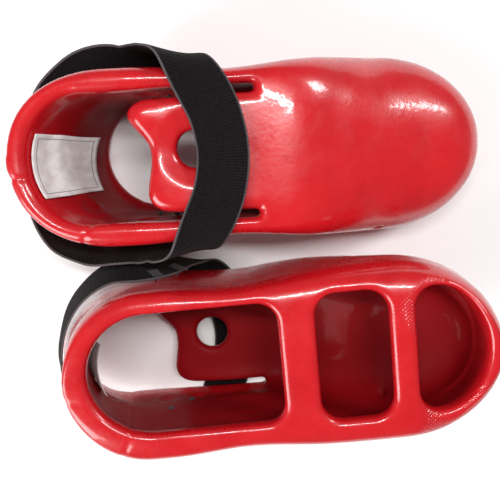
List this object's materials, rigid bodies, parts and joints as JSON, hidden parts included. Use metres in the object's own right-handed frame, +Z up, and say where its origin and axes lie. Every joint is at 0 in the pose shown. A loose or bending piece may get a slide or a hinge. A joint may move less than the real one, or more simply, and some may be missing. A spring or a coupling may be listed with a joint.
{
  "type": "sparring foot guard pair",
  "caption": "Pair of dipped foam sparring foot guards with open soles, a padded tongue and an elastic ankle strap, one upright and one upside down.",
  "frame": {"origin": "middle of the underside of the pair, on the floor", "axes": "+X towards the toes, +Y from the upturned right boot to the upright left boot, +Z up"},
  "size_m": [0.2784, 0.2484, 0.0978],
  "materials": {
    "red_vinyl": "glossy dipped vinyl",
    "black_elastic": "ribbed woven elastic",
    "white_label": "satin label tape",
    "black_thread": "waxed thread"
  },
  "bodies": {
    "left_boot": {"left_vamp": "red_vinyl", "left_medial_wall": "red_vinyl", "left_lateral_wall": "red_vinyl", "left_heel_insert": "red_vinyl", "left_arch_band": "red_vinyl", "left_toe_band": "red_vinyl", "left_strap_heel": "black_elastic", "left_medial_front_tack": "black_thread", "left_medial_rear_tack": "black_thread", "left_lateral_front_tack": "black_thread", "left_lateral_rear_tack": "black_thread", "left_care_label": "white_label"},
    "left_tongue_flap": {"left_tongue": "red_vinyl"},
    "left_strap_band": {"left_strap_front": "black_elastic"},
    "right_boot": {"right_vamp": "red_vinyl", "right_medial_wall": "red_vinyl", "right_lateral_wall": "red_vinyl", "right_heel_insert": "red_vinyl", "right_arch_band": "red_vinyl", "right_toe_band": "red_vinyl", "right_strap_heel": "black_elastic", "right_medial_front_tack": "black_thread", "right_medial_rear_tack": "black_thread", "right_lateral_front_tack": "black_thread", "right_lateral_rear_tack": "black_thread", "right_care_label": "white_label"},
    "right_tongue_flap": {"right_tongue": "red_vinyl"},
    "right_strap_band": {"right_strap_front": "black_elastic"}
  },
  "joints": [
    {"name": "left_tongue_lift", "type": "hinge", "parent": "left_boot", "child": "left_tongue_flap", "pos_m": [-0.00082, 0.06416, 0.08947], "axis": [-0.0558, 0.9984, 0], "range_deg": [0, 35], "stiffness_Nm_per_rad": 0.05},
    {"name": "left_strap_stretch", "type": "slide", "parent": "left_boot", "child": "left_strap_band", "axis": [0.5879, 0.0329, 0.8083], "range_m": [0, 0.021]},
    {"name": "right_boot_lift", "type": "slide", "parent": "left_boot", "child": "right_boot", "axis": [0, -0.35, 0.9367], "range_m": [0, 0.08]},
    {"name": "right_tongue_sag", "type": "hinge", "parent": "right_boot", "child": "right_tongue_flap", "pos_m": [0.00284, -0.0556, 0.00837], "axis": [0.0958, -0.9954, 0], "range_deg": [0, 25]},
    {"name": "right_strap_sag", "type": "slide", "parent": "right_boot", "child": "right_strap_band", "axis": [0.5861, 0.0564, -0.8083], "range_m": [0, 0.016]}
  ],
  "couplings": [
    {"joint": "left_strap_stretch", "follows": "left_tongue_lift", "m_per_rad": 0.03434},
    {"joint": "right_tongue_sag", "follows": "right_boot_lift", "rad_per_m": 5.4487},
    {"joint": "right_strap_sag", "follows": "right_boot_lift", "ratio": 0.1998}
  ]
}
